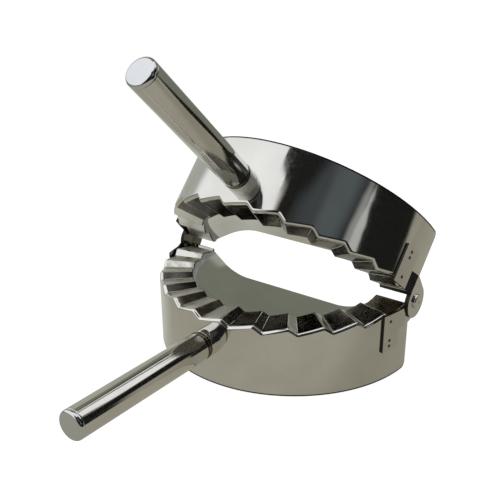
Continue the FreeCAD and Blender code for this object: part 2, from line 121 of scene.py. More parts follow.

# Colours of the steel; some of them stand for painted light and shade, as said at each.
SHEET_STEEL = (0.80, 0.795, 0.775, 1.0)
# The flutes' colours are painted light and shade: a painted reflection on the pale ones, painted shade
# with brown tints on the cloudy, shaded, umber and brown ones.
FLUTE_SHADE_DARK = (0.11, 0.105, 0.095, 1.0)
FLUTE_SHADE_BROWN = (0.18, 0.155, 0.13, 1.0)
FLUTE_REFLECTION_PALE = (0.88, 0.87, 0.80, 1.0)
FLUTE_SHADE_GREY = (0.5, 0.5, 0.46, 1.0)
SHADED_FLUTE_STEEL = (0.06, 0.062, 0.055, 1.0)
SHADED_FLUTE_BROWN = (0.12, 0.11, 0.092, 1.0)
FLUTE_UMBER_SHADE_DARK = (0.2, 0.18, 0.15, 1.0)
FLUTE_UMBER_SHADE_LIGHT = (0.42, 0.37, 0.3, 1.0)
LIP_STEEL = (0.36, 0.375, 0.36, 1.0)
# Painted shade in the bend from the bowl's lip to the pleats.
LIP_BEND_SHADE_STEEL = (0.05, 0.048, 0.042, 1.0)
# Cut edges: darker as sheared steel, and partly painted shadow at the skirt's foot and in the leaves'
# gaps.
SHEARED_AND_SHADOW_STEEL = (0.045, 0.042, 0.04, 1.0)
CAP_COLOUR = (0.76, 0.78, 0.82, 1.0)
# Painted highlight: pale satin for the upper ferrule's sleeve, where the lower one is turned steel.
SATIN_HIGHLIGHT_STEEL = (0.96, 0.96, 0.93, 1.0)
# Painted shade, olive in places, on the ferrule's bead and groove and on the rivets' feet.
BEAD_SHADE_DARK = (0.10, 0.09, 0.07, 1.0)
BEAD_SHADE_OLIVE = (0.26, 0.24, 0.17, 1.0)
LEAF_STEEL = (0.76, 0.75, 0.73, 1.0)
# Painted shade on the leaves' faces between the jaws.
INNER_LEAF_SHADE = (0.16, 0.16, 0.15, 1.0)
TUBE_STEEL = (0.78, 0.77, 0.74, 1.0)
HEAT_BLACK = (0.015, 0.013, 0.012, 1.0)
HEAT_BROWN = (0.11, 0.075, 0.04, 1.0)
WHITE = (1.0, 1.0, 1.0, 1.0)

# Patterns of polished steel: each noise's scale, detail and roughness, its limits and its effect.
CLOUD_NOISE = (55.0, 3.0)
CLOUD_LIMITS = (0.3, 0.7)
SMUDGE_NOISE = (190.0, 5.0, 0.6)
SMUDGE_LIMITS = (0.56, 0.72)
SMUDGE_SHARE = 0.35
DULLED = 0.9
WAVE_NOISE = (70.0, 1.0)
GRAIN_DETAIL = (4.0, 0.7)
GRAIN_LIMITS = (0.3, 0.75)
GRAIN_GLOSS = (0.8, 1.3)
GRAIN_STRENGTH = 0.03
GRAIN_HEIGHT = 0.00001
LEAF_ROUGHNESS = 0.1
LEAF_GRAIN = 1200.0
LEAF_WAVE = 0.00004
SHEARED_SHADOW_TURN = (0.35, 0.55)
SHEARED_ROUGHNESS = 0.4

# Patterns of burnished steel and of the weld spots' oxide.
STREAK_NOISE = (260.0, 2.0)
STREAK_LIMITS = (0.35, 0.7)
PATCH_NOISE = (150.0, 2.0)
PATCH_LIMITS = (0.3, 0.7)
PATCH_GLOSS = (0.85, 1.2)
HEAT_NOISE = (2500.0, 3.0)
HEAT_LIMITS = (0.35, 0.65)
HEAT_METALLIC = 0.6
HEAT_ROUGHNESS = 0.5

# The handle, its cap and its ferrule, turned round the handle's own axis.
HANDLE_DROP = 0.0086
HANDLE_RADIUS = 0.0048
HANDLE_BORE = 0.004
TUBE_START = 0.0061
TUBE_END = 0.0593
CAP_END = 0.0609
CAP_ROUND = 0.0012
CAP_LIP = 0.00012
PLUG_RADIUS = 0.00397
CAP_SPIGOT = 0.006
SEAT_GAP = 0.00003
SLEEVE_END = 0.0042
BEAD_START = 0.0044
FERRULE_END = 0.0056
SLEEVE_ROUND = 0.00015
BEAD_ROUND = 0.0005
GROOVE_RADIUS = 0.0041
PLUG_END = 0.011
TUBE_LIP = 0.0003

# The hinge: leaves, weld spots and rivets.
LEAF_GAUGE = 0.0007
LEAF_SEAT = 0.00012
LEAF_REACH = 0.016
LEAF_DEPTH = 0.0136
LEAF_BEVEL = 0.00013
BEVEL_STEPS = 2
BEVEL_ANGLE = math.radians(40)
SPOT_INSET = 0.003
SPOT_SHARES = (0.21, 0.72, 0.87)
SPOT_RADIUS = 0.00065
SPOT_SHOULDER = (0.0005, 0.00004)
SPOT_PROUD = 0.00006
EAR_GAP = 0.00012
RIVET_BODY = "lower_jaw"
RIVET_RADIUS = 0.0015
RIVET_FLARE = (0.0021, 0.00035)
RIVET_HEAD = (0.0025, 0.0009)
RIVET_ROUND_SHARE = 0.6
RIVET_DIMPLE = (0.0008, 0.00045)
DIMPLE_ROUND = 0.0001

# Turn of the surface from which an edge stays sharp.
SMOOTH_ANGLE = math.radians(38)

# Camera of the photograph, and the lamps with their size and power.
CAMERA_PLACE = Vector((0.15276, -0.18534, 0.14688))
CAMERA_RIGHT = Vector((0.8051, 0.5931, -0.0056))
CAMERA_DOWN = Vector((0.2495, -0.3472, -0.9040))
CAMERA_AHEAD = Vector((-0.5381, 0.7264, -0.4275))
CAMERA_LENS = 59.82
CAMERA_SHIFT = 0.08
LAMPS = (
    ("key_lamp", (-0.5, -0.35, 0.6), 0.5, 5.0),
    ("fill_lamp", (0.6, -0.1, 0.5), 0.6, 3.0),
)


def make_camera():
    """Camera at the photograph's view."""
    data = bpy.data.cameras.new("photo_camera")
    data.lens = CAMERA_LENS
    data.shift_y = CAMERA_SHIFT
    camera = bpy.data.objects.new("photo_camera", data)
    bpy.context.scene.collection.objects.link(camera)
    turn = Matrix((CAMERA_RIGHT, -CAMERA_DOWN, -CAMERA_AHEAD)).transposed().to_4x4()
    camera.matrix_world = Matrix.Translation(CAMERA_PLACE) @ turn
    bpy.context.scene.camera = camera


class Tree:
    """Short ways to write a node tree."""

    def __init__(self, owner):
        owner.use_nodes = True
        self.nodes = owner.node_tree.nodes
        self.links = owner.node_tree.links
        self.nodes.clear()

    def add(self, kind, settings=None, **inputs):
        """A node with its settings, and its inputs set or linked by name or number."""
        node = self.nodes.new(kind)
        for name, value in (settings or {}).items():
            setattr(node, name, value)
        for name, value in inputs.items():
            self.feed(node, name, value)
        return node

    def feed(self, node, name, value):
        """Sets or links one input: an underscore and a number stand for its place in the list."""
        key = int(name[1:]) if name[0] == "_" else name.replace("_", " ")
        socket = node.inputs[key]
        if isinstance(value, bpy.types.NodeSocket):
            self.links.new(value, socket)
        else:
            socket.default_value = value

    def math(self, operation, *values):
        """Output of a math node."""
        inputs = {f"_{place}": value for place, value in enumerate(values)}
        return self.add("ShaderNodeMath", {"operation": operation}, **inputs).outputs[0]

    def ramp(self, value, low, high, start=0.0, end=1.0):
        """Smooth step of a value from start at low to end at high."""
        settings = {"interpolation_type": "SMOOTHSTEP"}
        node = self.add("ShaderNodeMapRange", settings, Value=value, _1=low, _2=high, _3=start, _4=end)
        return node.outputs[0]

    def place(self):
        """Place of a shaded point on its own object."""
        return self.add("ShaderNodeTexCoord").outputs["Object"]

    def mix(self, share, first, second):
        """Colour between two colours."""
        settings = {"data_type": "RGBA"}
        node = self.add("ShaderNodeMix", settings, _0=share, _6=first, _7=second)
        return node.outputs[2]

    def noise(self, place, scale, detail, roughness=0.5):
        """Noise value at a place."""
        node = self.add("ShaderNodeTexNoise", None, Vector=place, Scale=scale, Detail=detail,
                        Roughness=roughness)
        return node.outputs[0]


# Tints of the studio that the steel mirrors.
WARM = (1.0, 0.93, 0.66)
SAGE = (0.96, 1.0, 0.76)
PLAIN = (1.0, 1.0, 0.95)
COOL = (0.86, 1.0, 1.05)
STUDIO_GREY = 0.2

# Cards of the studio: name, bearing, half width, elevation, half height, softness, grey and tint.
STUDIO_CARDS = (
    ("pale_wall", -112.0, 22.0, 12.0, 24.0, 14.0, 0.45, PLAIN),
    ("key_softbox", -50.0, 49.0, 44.0, 36.0, 10.0, 1.0, PLAIN),
    ("dark_room", 65.0, 61.0, 28.0, 40.0, 1.5, 0.012, PLAIN),
    ("dark_ceiling", 28.0, 35.0, 66.0, 4.8, 1.5, 0.012, PLAIN),
    ("dark_peak", 20.0, 43.0, 66.0, 3.8, 1.0, 0.012, PLAIN),
    ("haze", 56.0, 34.0, 45.5, 12.0, 6.0, 0.06, COOL),
    ("far_window", 68.0, 12.0, 44.0, 8.0, 10.0, 0.1, COOL),
    ("window_glow", 85.0, 4.5, 25.0, 6.8, 4.0, 0.3, PLAIN),
    ("near_window", 88.2, 3.3, 21.5, 6.5, 1.5, 0.5, PLAIN),
    ("right_black", 108.5, 16.0, 8.0, 30.0, 1.5, 0.01, PLAIN),
    ("right_wall", 139.0, 16.0, -4.0, 15.0, 4.0, 0.34, WARM),
    ("back_wall", 180.0, 45.0, 14.0, 26.0, 8.0, 0.2, SAGE),
    ("warm_wall", -122.0, 14.0, 18.0, 24.0, 8.0, 0.44, SAGE),
    ("back_glow", 158.0, 16.0, 41.0, 7.0, 12.0, 0.42, SAGE),
    ("black_flag", 131.0, 16.0, 24.0, 12.0, 4.0, 0.006, PLAIN),
    ("back_softbox", 146.0, 14.0, 51.0, 13.0, 4.0, 1.0, PLAIN),
    ("back_ceiling", 176.0, 20.0, 56.0, 10.0, 8.0, 1.0, PLAIN),
    ("back_gap", -156.0, 6.0, 50.0, 8.0, 4.0, 0.05, PLAIN),
    ("horizon_flag", 147.0, 12.0, -10.5, 8.5, 3.0, 0.008, PLAIN),
    ("ceiling_softbox", 0.0, 190.0, 83.5, 15.0, 2.0, 1.0, PLAIN),
)

# The floor and its patches: name, bearing round the part, half width, grey and tint.
FLOOR_HALF = 0.28
FLOOR_SINK = 0.00005
FLOOR_GLOW = 0.86
FLOOR_SHADE = (0.16, 0.16, 0.16, 1.0)
FLOOR_GREY = 0.38
FLOOR_PATCHES = (
    ("left_light", -126.0, 22.0, 0.55, SAGE),
    ("right_shade", 124.0, 18.0, 0.3, WARM),
)
FLOOR_PATCH_SOFTNESS = 24.0


def tinted(grey, tint):
    """A studio grey as a colour: the brighter it is, the nearer to white."""
    return tuple(grey * (part + (1.0 - part) * grey) for part in tint) + (1.0,)


def within(tree, angle, middle, half, soft):
    """One where an angle in degrees lies within a half width of the middle, round the circle."""
    past = tree.math("WRAP", tree.math("SUBTRACT", angle, middle), 180.0, -180.0)
    return tree.ramp(tree.math("ABSOLUTE", past), half - soft / 2, half + soft / 2, 1.0, 0.0)


def bearing_of(tree, split):
    """Bearing in degrees of a split direction, from the front towards +X."""
    toward_front = tree.math("MULTIPLY", split.outputs["Y"], -1.0)
    return tree.math("DEGREES", tree.math("ARCTAN2", split.outputs["X"], toward_front))


def make_world():
    """White to the camera; to the steel, a studio with its softboxes, walls and black flags."""
    world = bpy.data.worlds.new("studio")
    bpy.context.scene.world = world
    tree = Tree(world)
    way = tree.add("ShaderNodeTexCoord").outputs["Generated"]
    split = tree.add("ShaderNodeSeparateXYZ", None, Vector=way)
    bearing = bearing_of(tree, split)
    elevation = tree.math("DEGREES", tree.math("ARCSINE", split.outputs["Z"]))
    seen = tinted(STUDIO_GREY, WARM)
    for _, middle, half_width, height, half_height, soft, grey, tint in STUDIO_CARDS:
        across = within(tree, bearing, middle, half_width, soft)
        up = within(tree, elevation, height, half_height, soft)
        seen = tree.mix(tree.math("MULTIPLY", across, up), seen, tinted(grey, tint))
    path = tree.add("ShaderNodeLightPath")
    studio = tree.add("ShaderNodeBackground", None, Color=seen, Strength=1.0)
    plain = tree.add("ShaderNodeBackground", None, Color=WHITE, Strength=1.0)
    glossy = path.outputs["Is Glossy Ray"]
    chosen = tree.add("ShaderNodeMixShader", None, _0=glossy, _1=plain.outputs[0], _2=studio.outputs[0])
    tree.add("ShaderNodeOutputWorld", None, Surface=chosen.outputs[0])


def make_floor():
    """Pale floor: white to the camera but for a faint shadow, warm grey in the steel."""
    mesh = bpy.data.meshes.new("floor")
    corners = [(-FLOOR_HALF, -FLOOR_HALF, 0), (FLOOR_HALF, -FLOOR_HALF, 0),
               (FLOOR_HALF, FLOOR_HALF, 0), (-FLOOR_HALF, FLOOR_HALF, 0)]
    mesh.from_pydata(corners, [], [(0, 1, 2, 3)])
    floor = bpy.data.objects.new("floor", mesh)
    bpy.context.scene.collection.objects.link(floor)
    floor.location.z = -FLOOR_SINK
    material = bpy.data.materials.new("floor_pale")
    tree = Tree(material)
    path = tree.add("ShaderNodeLightPath")
    base = tree.add("ShaderNodeEmission", None, Color=WHITE, Strength=FLOOR_GLOW)
    shade = tree.add("ShaderNodeBsdfDiffuse", None, Color=FLOOR_SHADE)
    pale = tree.add("ShaderNodeAddShader", None, _0=base.outputs[0], _1=shade.outputs[0])
    bearing = bearing_of(tree, tree.add("ShaderNodeSeparateXYZ", None, Vector=tree.place()))
    seen = tinted(FLOOR_GREY, WARM)
    for _, middle, half_width, grey, tint in FLOOR_PATCHES:
        patch = within(tree, bearing, middle, half_width, FLOOR_PATCH_SOFTNESS)
        seen = tree.mix(patch, seen, tinted(grey, tint))
    glow = tree.add("ShaderNodeEmission", None, Color=seen, Strength=1.0)
    direct = path.outputs["Is Camera Ray"]
    chosen = tree.add("ShaderNodeMixShader", None, _0=direct, _1=glow.outputs[0], _2=pale.outputs[0])
    tree.add("ShaderNodeOutputMaterial", None, Surface=chosen.outputs[0])
    mesh.materials.append(material)


def make_lamp(name, place, size, power):
    """Soft square lamp that looks at the part's middle."""
    data = bpy.data.lights.new(name, "AREA")
    data.size = size
    data.energy = power
    lamp = bpy.data.objects.new(name, data)
    bpy.context.scene.collection.objects.link(lamp)
    lamp.location = place
    middle = (CAD_BOX[0] + CAD_BOX[1]) / 2
    lamp.rotation_mode = "QUATERNION"
    lamp.rotation_quaternion = (middle - Vector(place)).to_track_quat("-Z", "Y")
    lamp.visible_glossy = False


def finish(tree, tint, gloss, metallic=1.0, **inputs):
    """Ends a material's tree with its surface."""
    surface = tree.add("ShaderNodeBsdfPrincipled", None, Base_Color=tint, Metallic=metallic,
                       Roughness=gloss, **inputs)
    tree.add("ShaderNodeOutputMaterial", None, Surface=surface.outputs[0])


def steel_nodes(tree, colour, roughness, grain, wave):
    """Nodes of polished steel: cloudy tint, uneven gloss, a slightly wavy sheet and fine grain."""
    place = tree.place()
    cloud = tree.noise(place, *CLOUD_NOISE)
    fine = tree.noise(place, grain, *GRAIN_DETAIL)
    smudge = tree.noise(place, *SMUDGE_NOISE)
    dull = tuple(DULLED * part for part in colour[:3]) + (1.0,)
    tint = tree.mix(tree.ramp(cloud, *CLOUD_LIMITS), colour, dull)
    tint = tree.mix(tree.ramp(smudge, *SMUDGE_LIMITS, 0.0, SMUDGE_SHARE), tint, dull)
    gloss = tree.ramp(fine, *GRAIN_LIMITS, *(roughness * share for share in GRAIN_GLOSS))
    sheet = tree.noise(place, *WAVE_NOISE)
    wavy = tree.add("ShaderNodeBump", None, Strength=1.0, Distance=wave, Height=sheet)
    grained = tree.add("ShaderNodeBump", None, Strength=GRAIN_STRENGTH, Distance=GRAIN_HEIGHT,
                       Height=fine, Normal=wavy.outputs[0])
    return tint, gloss, grained.outputs[0]


def polished(name, colour, roughness, grain, wave):
    """Polished steel with fine grain, a slightly wavy sheet and uneven gloss."""
    material = bpy.data.materials.new(name)
    tree = Tree(material)
    tint, gloss, normal = steel_nodes(tree, colour, roughness, grain, wave)
    finish(tree, tint, gloss, Normal=normal)
    return material


def burnished(name, dark, light, roughness, metallic=1.0):
    """Plain burnished steel, streaked between two colours."""
    material = bpy.data.materials.new(name)
    tree = Tree(material)
    place = tree.place()
    streak = tree.noise(place, *STREAK_NOISE)
    tint = tree.mix(tree.ramp(streak, *STREAK_LIMITS), dark, light)
    patch = tree.noise(place, *PATCH_NOISE)
    gloss = tree.ramp(patch, *PATCH_LIMITS, *(roughness * share for share in PATCH_GLOSS))
    finish(tree, tint, gloss, metallic)
    return material


def leaf_steel(name):
    """Steel of the hinge leaves: their sheared edges dark, partly as cut steel and partly as a painted
    shadow of the gap, and painted shade on the faces between the jaws.
    """
    material = bpy.data.materials.new(name)
    tree = Tree(material)
    tint, gloss, normal = steel_nodes(tree, LEAF_STEEL, LEAF_ROUGHNESS, LEAF_GRAIN, LEAF_WAVE)
    spot = tree.add("ShaderNodeTexCoord")
    across = tree.add("ShaderNodeSeparateXYZ", None, Vector=spot.outputs["Normal"]).outputs["X"]
    side = tree.add("ShaderNodeSeparateXYZ", None, Vector=spot.outputs["Object"]).outputs["X"]
    # Painted shade on the faces that look in between the jaws.
    inner = tree.ramp(tree.math("MULTIPLY", across, side), -JAW_RADIUS / 2, 0.0, 1.0, 0.0)
    tint = tree.mix(inner, tint, INNER_LEAF_SHADE)
    # Sheared edges: darker cut steel, partly a painted shadow of the gap by the skirt.
    sheared_and_shadow = tree.ramp(tree.math("ABSOLUTE", across), *SHEARED_SHADOW_TURN, 1.0, 0.0)
    dulled = tree.math("MAXIMUM", gloss, tree.math("MULTIPLY", sheared_and_shadow, SHEARED_ROUGHNESS))
    finish(tree, tree.mix(sheared_and_shadow, tint, SHEARED_AND_SHADOW_STEEL), dulled, Normal=normal)
    return material


def heat_tinted(name):
    """Dark oxide that a weld spot leaves, brown in places."""
    material = bpy.data.materials.new(name)
    tree = Tree(material)
    cloud = tree.noise(tree.place(), *HEAT_NOISE)
    tint = tree.mix(tree.ramp(cloud, *HEAT_LIMITS), HEAT_BLACK, HEAT_BROWN)
    finish(tree, tint, HEAT_ROUGHNESS, HEAT_METALLIC)
    return material


def make_finishes():
    """Finishes of the pieces by use; a sheet's are in the order of its kinds of face."""
    return {
        "sheet": [
            polished("polished_sheet", SHEET_STEEL, 0.07, 900.0, 0.00012),
            # Cut edges: rough sheared steel, partly a painted contact shadow at the skirt's foot.
            polished("sheared_edge_and_shadow", SHEARED_AND_SHADOW_STEEL, 0.35, 900.0, 0.00002),
            burnished("bowl_lip", LIP_STEEL, LIP_STEEL, 0.3, 0.0),
            burnished("lip_bend_shade", LIP_BEND_SHADE_STEEL, LIP_BEND_SHADE_STEEL, 0.3),
            # Pleat facets: painted light and shade, chosen by turn.
            burnished("painted_reflection_flute", FLUTE_REFLECTION_PALE, SHEET_STEEL, 0.4),
            burnished("painted_grey_shade_flute", FLUTE_SHADE_GREY, SHEET_STEEL, 0.15),
            burnished("shaded_flute", SHADED_FLUTE_STEEL, SHADED_FLUTE_BROWN, 0.22),
            burnished("painted_umber_shade_flute", FLUTE_UMBER_SHADE_DARK, FLUTE_UMBER_SHADE_LIGHT, 0.22),
            burnished("painted_brown_shade_flute", FLUTE_SHADE_DARK, FLUTE_SHADE_BROWN, 0.17),
        ],
        "tube": polished("drawn_tube", TUBE_STEEL, 0.1, 1200.0, 0.00002),
        "turned": polished("turned_steel", TUBE_STEEL, 0.1, 1400.0, 0.00002),
        "cap": polished("cap_steel", CAP_COLOUR, 0.09, 1400.0, 0.00002),
        # Painted highlight on the upper ferrule's sleeve.
        "satin": burnished("satin_sleeve_highlight", SATIN_HIGHLIGHT_STEEL, SATIN_HIGHLIGHT_STEEL, 0.42),
        # Painted shade of the ferrules' beads and the rivets' feet.
        "bead_and_foot_shade": burnished("painted_shade_bead", BEAD_SHADE_DARK, BEAD_SHADE_OLIVE, 0.14),
        "leaf": leaf_steel("leaf_plate"),
        "spot": heat_tinted("heat_tinted"),
    }


def pleat_corners():
    """Turn and height, from -1 to 1, of the corners of the pleats from end to end."""
    pitch = math.pi / PLEAT_COUNT
    half_steep = pitch * STEEP_SHARE / 2
    corners = [(-math.pi / 2, 0.0)]
    for step in range(PLEAT_COUNT):
        start = -math.pi / 2 + step * pitch
        corners.append((start + half_steep, -1.0))
        corners.append((start + pitch - half_steep, 1.0))
    corners.append((math.pi / 2, 0.0))
    return corners


def slope(first, second):
    """Rise over turn from one pleat corner to the next."""
    return (second[1] - first[1]) / (second[0] - first[0])


def pleat_height(turn):
    """Height of the pleats, from -1 to 1, at a turn from the front, with its creases rounded."""
    corners = pleat_corners()
    for before, corner, after in zip(corners, corners[1:], corners[2:]):
        past = turn - corner[0]
        left = slope(before, corner)
        right = slope(corner, after)
        if abs(past) <= CREASE_SOFTNESS:
            bend = (right - left) * (past + CREASE_SOFTNESS) ** 2 / (4 * CREASE_SOFTNESS)
            return corner[1] + left * past + bend
        if past < 0:
            return corner[1] + left * past
    return corners[-1][1] + slope(corners[-2], corners[-1]) * (turn - corners[-1][0])


def jaw_turns():
    """Turns from the front at which the jaw's section is drawn."""
    turns = []
    for corner, _ in pleat_corners()[1:-1]:
        turns += [corner + share * CREASE_SOFTNESS for share in CREASE_SHARES]
    for share in CORNER_SHARES:
        end = math.acos(min(1.0, share * CORNER_ROUND / JAW_RADIUS))
        turns += [-end, end]
    turns.sort()
    filled = [turns[0]]
    for turn in turns[1:]:
        gap = turn - filled[-1]
        count = max(1, math.ceil(gap / TURN_STEP))
        start = filled[-1]
        filled += [start + gap * step / count for step in range(1, count + 1)]
    return filled


def bent(before, corner, after, steps):
    """Points of a soft bend that starts towards one point and ends towards another."""
    points = []
    for step in range(steps + 1):
        share = step / steps
        first = [low + (high - low) * share for low, high in zip(before, corner)]
        second = [low + (high - low) * share for low, high in zip(corner, after)]
        points.append(tuple(low + (high - low) * share for low, high in zip(first, second)))
    return points


def bowl_line(growth):
    """The bowl's skin (radius, height) from its middle to its wall, grown by a gauge."""
    flat = FLOOR_RADIUS - FLOOR_ROUND * math.tan(WALL_TILT / 2)
    middle = -PLEAT_DROP - BOWL_DEPTH + FLOOR_ROUND
    bend = FLOOR_ROUND + growth
    points = [(flat * step / FLOOR_STEPS, middle - bend) for step in range(FLOOR_STEPS)]
    for step in range(FLOOR_BEND_STEPS + 1):
        part = WALL_TILT * step / FLOOR_BEND_STEPS
        points.append((flat + bend * math.sin(part), middle - bend * math.cos(part)))
    return points


def down_wall(point, length):
    """Point that lies a length down the bowl's wall from another."""
    return (point[0] - length * math.cos(WALL_TILT), point[1] - length * math.sin(WALL_TILT))


def wall_line(edge):
    """Pairs of outer and inner points over the bowl's wall and lip to the pleats' inner edge."""
    foot = (BOWL_RADIUS, -PLEAT_DROP - BOWL_LIP)
    soft = min(LIP_ROUND, (edge - foot[1]) / LIP_SHARE)
    outer = [down_wall(foot, LIP_BAND)]
    outer += bent(down_wall(foot, soft), foot, (foot[0], foot[1] + soft), BEND_STEPS)
    outer += bent((foot[0], edge - soft), (foot[0], edge), (foot[0] + soft, edge), BEND_STEPS)
    drop = SHEET_GAUGE * math.tan((math.pi / 2 - WALL_TILT) / 2)
    under = (BOWL_RADIUS + SHEET_GAUGE, foot[1] - drop)
    top = (under[0], edge - SHEET_GAUGE)
    bends = [(under[0], under[1] + (top[1] - under[1]) * share) for share in LIP_BENDS]
    inner = [down_wall(under, LIP_BAND)]
    inner += bent(down_wall(under, soft), under, bends[0], BEND_STEPS)
    inner += bent(bends[1], top, (top[0] + soft, top[1]), BEND_STEPS)
    return list(zip(outer, inner))


def flange_line(lift):
    """Pairs of points over the pleats and round the bend to the skirt."""
    pairs = []
    end = JAW_RADIUS - RIM_BEND
    starts = (BOWL_RADIUS + LIP_ROUND, BOWL_RADIUS + SHEET_GAUGE + LIP_ROUND)
    for step in range(1, FLUTE_STEPS + 1):
        spots = []
        for start, sunk in zip(starts, (0.0, SHEET_GAUGE)):
            radius = start + (end - start) * step / FLUTE_STEPS
            spots.append((radius, -PLEAT_DROP - sunk + lift * radius / JAW_RADIUS))
        pairs.append(tuple(spots))
    shoulder = -PLEAT_DROP + lift * end / JAW_RADIUS - RIM_BEND
    for step in range(1, BEND_STEPS + 1):
        part = math.pi / 2 * step / BEND_STEPS
        pairs.append(tuple((end + bend * math.sin(part), shoulder + bend * math.cos(part))
                           for bend in (RIM_BEND, RIM_BEND - SHEET_GAUGE)))
    return pairs, shoulder


def skirt_line(turn, shoulder):
    """Pairs of points down the skirt to its cutting edge, with its end corners rounded."""
    ahead = JAW_RADIUS * math.cos(turn)
    foot = -SKIRT_DEPTH
    if ahead < CORNER_ROUND:
        foot += CORNER_ROUND - math.sqrt(CORNER_ROUND ** 2 - (CORNER_ROUND - ahead) ** 2)
    pairs = []
    for step in range(1, SKIRT_STEPS + 1):
        height = shoulder + (foot + EDGE_SHADOW_BAND - shoulder) * step / SKIRT_STEPS
        pairs.append(((JAW_RADIUS, height), (JAW_RADIUS - SHEET_GAUGE, height)))
    pairs.append(((JAW_RADIUS, foot + EDGE_ROUND), (JAW_RADIUS - SHEET_GAUGE, foot + EDGE_ROUND)))
    for share in EDGE_SHARES:
        cut = EDGE_ROUND * (1 - math.sqrt(1 - share ** 2))
        low = foot + EDGE_ROUND * (1 - share)
        pairs.append(((JAW_RADIUS - cut, low), (JAW_RADIUS - SHEET_GAUGE + cut, low)))
    return pairs


def sheet_section(turn):
    """Kind, outer and inner point (radius, height) from the bowl's middle to the cutting edge."""
    lift = pleat_height(turn) * PLEAT_RISE / 2
    bowl = list(zip(bowl_line(0.0), bowl_line(SHEET_GAUGE)))
    wall = wall_line(-PLEAT_DROP + lift * BOWL_RADIUS / JAW_RADIUS)
    flange, shoulder = flange_line(lift)
    skirt = skirt_line(turn, shoulder)
    kinds = [SHEET] * (len(bowl) + 1)
    # The lip's top bend takes painted shade.
    kinds += [LIP] * (len(wall) - 1 - BEND_STEPS) + [LIP_BEND_SHADE] * BEND_STEPS
    kinds += [FLUTE] * FLUTE_STEPS + [SHEET] * (len(flange) - FLUTE_STEPS)
    # The band at the cutting edge takes the cut finish, a painted contact shadow.
    kinds += [SHEET] * SKIRT_STEPS + [CUT_AND_SHADOW] * (len(skirt) - SKIRT_STEPS)
    return [(kind, *pair) for kind, pair in zip(kinds, bowl + wall + flange + skirt)]


def facet_finish(turn, long_facets, steep_facets):
    """Kind of painted light and shade that the pleats' faces take at a turn; creases keep the sheet's own
    finish.
    """
    corners = pleat_corners()
    for before, after in zip(corners, corners[1:]):
        crease = min(turn - before[0], after[0] - turn)
        if crease > CREASE_SOFTNESS / 2:
            finishes = long_facets if slope(before, after) > 0 else steep_facets
            middle = math.degrees(before[0] + after[0]) / 2
            return next(kind for limit, kind in finishes if middle <= limit)
    return SHEET


def jaw_columns(turns):
    """Points of the sheet, and for each turn its column of kinds with their outer and inner point."""
    points = []
    columns = []
    for turn in turns:
        column = []
        for place, (kind, *pair) in enumerate(sheet_section(turn)):
            spots = []
            for skin, (radius, height) in enumerate(pair):
                if place == 0 and columns:
                    spots.append(columns[0][0][1][skin])
                    continue
                spots.append(len(points))
                points.append((radius * math.sin(turn), -END_SETBACK - radius * math.cos(turn), height))
            column.append((kind, spots))
        columns.append(column)
    return points, columns


def jaw_mesh(name, long_facets, steep_facets):
    """The drawn sheet of a jaw as a mesh in the jaw's own frame, with a kind for each face."""
    turns = jaw_turns()
    points, columns = jaw_columns(turns)
    faces = []
    kinds = []
    for left, right, start, end in zip(columns, columns[1:], turns, turns[1:]):
        flute = facet_finish((start + end) / 2, long_facets, steep_facets)
        for (_, low), (kind, high), (_, next_low), (_, next_high) in zip(left, left[1:], right, right[1:]):
            outer = [low[0], high[0], next_high[0], next_low[0]]
            inner = [next_low[1], next_high[1], high[1], low[1]]
            faces += [list(dict.fromkeys(outer)), list(dict.fromkeys(inner))]
            kinds += [flute if kind == FLUTE else kind, CUT_AND_SHADOW if kind == CUT_AND_SHADOW else SHEET]
        faces.append([*left[-1][1], *right[-1][1][::-1]])
        kinds.append(CUT_AND_SHADOW)
    for column, flip in ((columns[0], False), (columns[-1], True)):
        for (_, low), (_, high) in zip(column, column[1:]):
            end = [low[0], low[1], high[1], high[0]]
            faces.append(end[::-1] if flip else end)
            kinds.append(CUT_AND_SHADOW)
    mesh = bpy.data.meshes.new(name)
    mesh.from_pydata(points, [], faces)
    mesh.polygons.foreach_set("material_index", kinds)
    mesh.validate()
    return mesh


def softened(corners):
    """Points of a line whose corners (radius, height, round) are bent over the round."""
    points = []
    for place, (radius, height, soft) in enumerate(corners):
        if soft == 0:
            points.append((radius, height))
            continue
        ends = []
        for other in (corners[place - 1], corners[(place + 1) % len(corners)]):
            away = (other[0] - radius, other[1] - height)
            share = soft / math.hypot(*away)
            ends.append((radius + away[0] * share, height + away[1] * share))
        points += bent(ends[0], (radius, height), ends[1], ROUND_STEPS)
    return points


def turned_mesh(name, corners, closed=False, saddled=0):
    """Mesh turned round Z from a line; its first saddled points lie on the skirt's curve."""
    line = softened(corners)
    points = []
    rings = []
    for place, (radius, height) in enumerate(line):
        count = 1 if radius == 0 else TURNED_STEPS
        rings.append(list(range(len(points), len(points) + count)))
        for step in range(count):
            turn = 2 * math.pi * step / TURNED_STEPS
            across = radius * math.cos(turn)
            sag = JAW_RADIUS - math.sqrt(JAW_RADIUS ** 2 - across ** 2) if place < saddled else 0.0
            points.append((across, radius * math.sin(turn), height - sag))
    if closed:
        rings.append(rings[0])
    faces = []
    for low, high in zip(rings, rings[1:]):
        for step in range(TURNED_STEPS):
            after = (step + 1) % TURNED_STEPS
            corner_set = [low[step % len(low)], low[after % len(low)], high[after % len(high)],
                          high[step % len(high)]]
            faces.append(list(dict.fromkeys(corner_set)))
    mesh = bpy.data.meshes.new(name)
    mesh.from_pydata(points, [], faces)
    mesh.validate()
    return mesh


def tube_mesh(name):
    """Drawn tube of a handle."""
    return turned_mesh(name, [
        (HANDLE_BORE, TUBE_START, 0.0),
        (HANDLE_RADIUS, TUBE_START, TUBE_LIP),
        (HANDLE_RADIUS, TUBE_END, TUBE_LIP),
        (HANDLE_BORE, TUBE_END, 0.0),
    ], closed=True)


